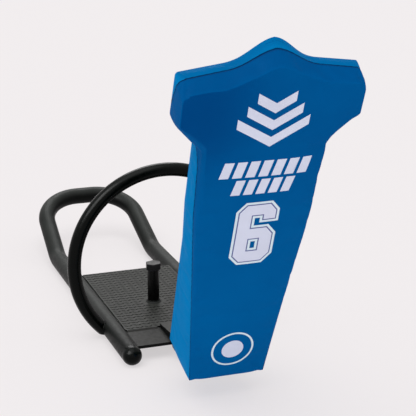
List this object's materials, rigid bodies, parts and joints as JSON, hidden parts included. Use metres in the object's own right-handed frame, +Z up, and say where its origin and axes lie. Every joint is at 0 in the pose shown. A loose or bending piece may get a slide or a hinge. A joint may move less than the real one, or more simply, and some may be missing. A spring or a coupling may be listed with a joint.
{
  "type": "pop-up tackle dummy",
  "caption": "Padded torso on a spring-returned arm, hinged on a tubular steel sled with a roll hoop and a ballast post; it folds back when hit and pops up again.",
  "frame": {"origin": "on the floor, under the middle of the object's bounding box", "axes": "+Z up, +X towards the dummy's own left, which is on the right seen from the front, +Y to the rear of the sled; the padded chest faces -Y"},
  "size_m": [0.7962, 2.5017, 1.3801],
  "materials": {
    "frame_paint": "satin black powder coat",
    "hoop_paint": "gloss black",
    "plate_paint": "dark grey, slightly glossy",
    "tread_paint": "dark warm grey tread plate, satin",
    "zinc_hardware": "dark zinc plating",
    "spring_steel": "oiled spring steel",
    "bush_bronze": "machined bronze",
    "stop_rubber": "matt black rubber",
    "back_board": "plywood painted black",
    "pad_foam": "open-cell foam",
    "pad_cover": "blue vinyl-coated fabric, satin"
  },
  "bodies": {
    "sled": {"runner_tube": "frame_paint", "runner_nose_left": "frame_paint", "runner_nose_right": "frame_paint", "roll_hoop": "hoop_paint", "front_plate": "plate_paint", "tread_plate": "tread_paint", "cross_member_front": "frame_paint", "cross_member_middle": "frame_paint", "cross_member_rear": "frame_paint", "stringer_front_left": "frame_paint", "stringer_front_right": "frame_paint", "stringer_rear_left": "frame_paint", "stringer_rear_right": "frame_paint", "hinge_cheek_left": "frame_paint", "hinge_cheek_right": "frame_paint", "hinge_cover": "tread_paint", "hinge_pin": "zinc_hardware", "pin_washer": "zinc_hardware", "pin_lock_nut": "zinc_hardware", "double_torsion_spring": "spring_steel", "spring_saddle": "frame_paint", "front_stop_pad_left": "stop_rubber", "front_stop_pad_right": "stop_rubber", "rear_stop_pad": "stop_rubber", "weight_post": "frame_paint", "post_base_flange": "frame_paint", "post_thread_insert": "zinc_hardware"},
    "dummy_arm": {"arm_barrel": "frame_paint", "barrel_bush_left": "bush_bronze", "barrel_bush_right": "bush_bronze", "arm_web_left": "frame_paint", "arm_web_right": "frame_paint", "arm_rear_strap": "frame_paint", "spine_plate": "frame_paint", "lower_back_board": "back_board", "upper_back_board": "back_board", "board_bolt_1_left": "zinc_hardware", "board_insert_1_left": "zinc_hardware", "board_bolt_1_right": "zinc_hardware", "board_insert_1_right": "zinc_hardware", "board_bolt_2_left": "zinc_hardware", "board_insert_2_left": "zinc_hardware", "board_bolt_2_right": "zinc_hardware", "board_insert_2_right": "zinc_hardware", "board_bolt_3_left": "zinc_hardware", "board_insert_3_left": "zinc_hardware", "board_bolt_3_right": "zinc_hardware", "board_insert_3_right": "zinc_hardware", "board_bolt_4_left": "zinc_hardware", "board_insert_4_left": "zinc_hardware", "board_bolt_4_right": "zinc_hardware", "board_insert_4_right": "zinc_hardware", "pad_foam": "pad_foam", "pad_cover": "pad_cover"},
    "ballast_washer": {"retainer_washer": "zinc_hardware"},
    "ballast_bolt": {"retainer_bolt": "zinc_hardware"}
  },
  "joints": [
    {"name": "arm_hinge", "type": "hinge", "parent": "sled", "child": "dummy_arm", "pos_m": [0, -0.37816, 0.062], "axis": [-1, 0, 0], "range_deg": [0, 50], "stiffness_Nm_per_rad": 80, "springref_deg": -20.05},
    {"name": "washer_lift", "type": "slide", "parent": "sled", "child": "ballast_washer", "axis": [0, 0, 1], "range_m": [0, 0.0281]},
    {"name": "bolt_turn", "type": "hinge", "parent": "ballast_washer", "child": "ballast_bolt", "pos_m": [0, 0.07684, 0.2132], "axis": [0, 0, 1], "range_deg": [0, 2880]}
  ],
  "couplings": [
    {"joint": "washer_lift", "follows": "bolt_turn", "m_per_rad": 0.00055704}
  ]
}
